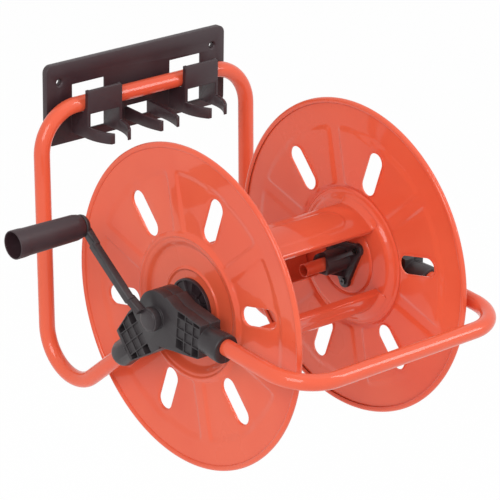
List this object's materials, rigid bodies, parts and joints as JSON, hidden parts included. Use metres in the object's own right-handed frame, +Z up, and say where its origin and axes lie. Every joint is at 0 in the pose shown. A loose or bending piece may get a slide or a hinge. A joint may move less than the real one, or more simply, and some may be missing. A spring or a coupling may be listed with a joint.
{
  "type": "wall mounted hose reel",
  "caption": "Wall mounted hose reel: hooked wall bracket with accessory forks, bent tube frame, open drum between pressed slotted flanges, hand crank with turning grip.",
  "frame": {"origin": "midway between the two wall screw holes, on the wall plane at the back of the wall plate", "axes": "+X along the drum's axle away from the crank, -Y straight out of the wall, +Z up"},
  "size_m": [0.4957, 0.485, 0.4134],
  "materials": {
    "bracket_plastic": "moulded, fine grain",
    "frame_paint": "gloss enamel",
    "housing_plastic": "moulded, satin",
    "flange_paint": "gloss enamel on pressed sheet",
    "bar_paint": "gloss enamel on bent sheet",
    "hub_plastic": "moulded, satin",
    "tube_paint": "gloss enamel",
    "crank_plastic": "moulded, satin",
    "grip_plastic": "moulded, satin",
    "screw_steel": "zinc plated",
    "axle_steel": "turned",
    "bush_plastic": "natural nylon",
    "seal_rubber": "moulded ring"
  },
  "bodies": {
    "wall": {"wall_bracket": "bracket_plastic"},
    "frame": {"rear_tube": "frame_paint", "front_tube": "frame_paint", "crank_housing_outer": "housing_plastic", "crank_housing_inner": "housing_plastic", "crank_housing_screws": "screw_steel", "crank_bush": "bush_plastic", "inlet_housing_outer": "housing_plastic", "inlet_housing_inner": "housing_plastic", "inlet_housing_screws": "screw_steel", "inlet_bush": "bush_plastic", "inlet_elbow": "housing_plastic", "inlet_elbow_screws": "screw_steel", "inlet_seals": "seal_rubber"},
    "drum": {"crank_flange": "flange_paint", "inlet_flange": "flange_paint", "drum_bar_1": "bar_paint", "drum_bar_2": "bar_paint", "drum_bar_3": "bar_paint", "crank_hub_outer": "hub_plastic", "crank_hub_inner": "hub_plastic", "crank_hub_screws": "screw_steel", "inlet_hub_outer": "hub_plastic", "inlet_hub_inner": "hub_plastic", "inlet_hub_screws": "screw_steel", "crank_axle": "axle_steel", "water_tube": "tube_paint", "crank_arm": "crank_plastic", "crank_screw": "screw_steel", "crank_cap": "crank_plastic", "grip_pin": "axle_steel"},
    "grip": {"crank_grip": "grip_plastic"}
  },
  "joints": [
    {"name": "frame_lift", "type": "slide", "parent": "wall", "child": "frame", "axis": [0, 0, 1], "range_m": [0, 0.04]},
    {"name": "drum_spin", "type": "hinge", "parent": "frame", "child": "drum", "pos_m": [0, -0.25, -0.201], "axis": [1, 0, 0], "continuous": true},
    {"name": "grip_spin", "type": "hinge", "parent": "drum", "child": "grip", "pos_m": [-0.24, -0.14513, -0.11758], "axis": [1, 0, 0], "continuous": true}
  ]
}
